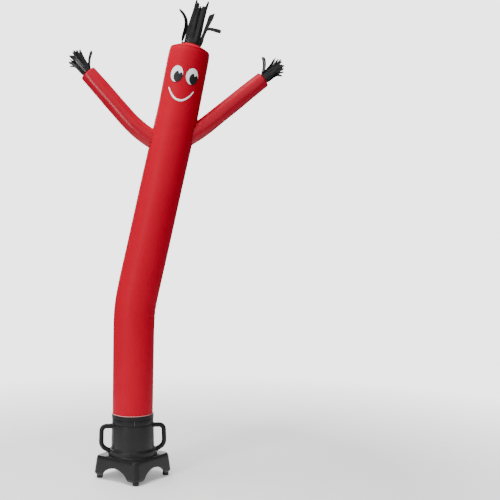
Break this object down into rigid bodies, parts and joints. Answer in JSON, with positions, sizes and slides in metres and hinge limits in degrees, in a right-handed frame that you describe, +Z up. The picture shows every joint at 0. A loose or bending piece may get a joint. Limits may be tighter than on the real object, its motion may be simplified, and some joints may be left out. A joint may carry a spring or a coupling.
{
  "type": "inflatable air dancer with blower",
  "caption": "Inflated nylon tube figure with sewn arms, strip hair and hands and a smiling face, clamped on its upright plastic blower.",
  "frame": {"origin": "middle of the whole object's box, on the surface that the four feet stand on", "axes": "+Z up along the figure, -Y the way the face looks, +X to the right of a viewer who faces it"},
  "size_m": [1.161, 0.4056, 2.5613],
  "materials": {
    "red_nylon": "coated ripstop nylon, soft satin",
    "black_nylon": "coated nylon strips, satin",
    "white_patch": "sewn-on white nylon",
    "black_patch": "sewn-on black nylon",
    "charcoal_plastic": "moulded, fine satin texture",
    "black_rubber": "matt",
    "bezel_plastic": "smooth",
    "green_switch": "translucent gloss",
    "bright_metal": "bright plated"
  },
  "bodies": {
    "dancer": {"body": "red_nylon", "crown": "red_nylon", "arm_left": "red_nylon", "arm_right": "red_nylon", "cuff_left": "red_nylon", "cuff_right": "red_nylon", "hair": "black_nylon", "hand_left": "black_nylon", "hand_right": "black_nylon", "eye_left": "white_patch", "eye_right": "white_patch", "pupil_left": "black_patch", "pupil_right": "black_patch", "smile": "white_patch", "base": "charcoal_plastic", "housing": "charcoal_plastic", "collar": "charcoal_plastic", "clamp_band": "charcoal_plastic", "handle_left": "charcoal_plastic", "handle_right": "charcoal_plastic", "switch_pad": "charcoal_plastic", "switch_cover": "charcoal_plastic", "foot_1": "black_rubber", "foot_2": "black_rubber", "foot_3": "black_rubber", "foot_4": "black_rubber", "bezel": "bezel_plastic", "screw_1": "bright_metal", "screw_2": "bright_metal", "screw_3": "bright_metal", "screw_4": "bright_metal", "gland": "bright_metal"},
    "rocker": {"rocker": "green_switch"}
  },
  "joints": [
    {"name": "switch_rocker", "type": "hinge", "parent": "dancer", "child": "rocker", "pos_m": [-0.25594, 0.14705, 0.2025], "axis": [0, 0, 1], "range_deg": [-22, 0]}
  ]
}
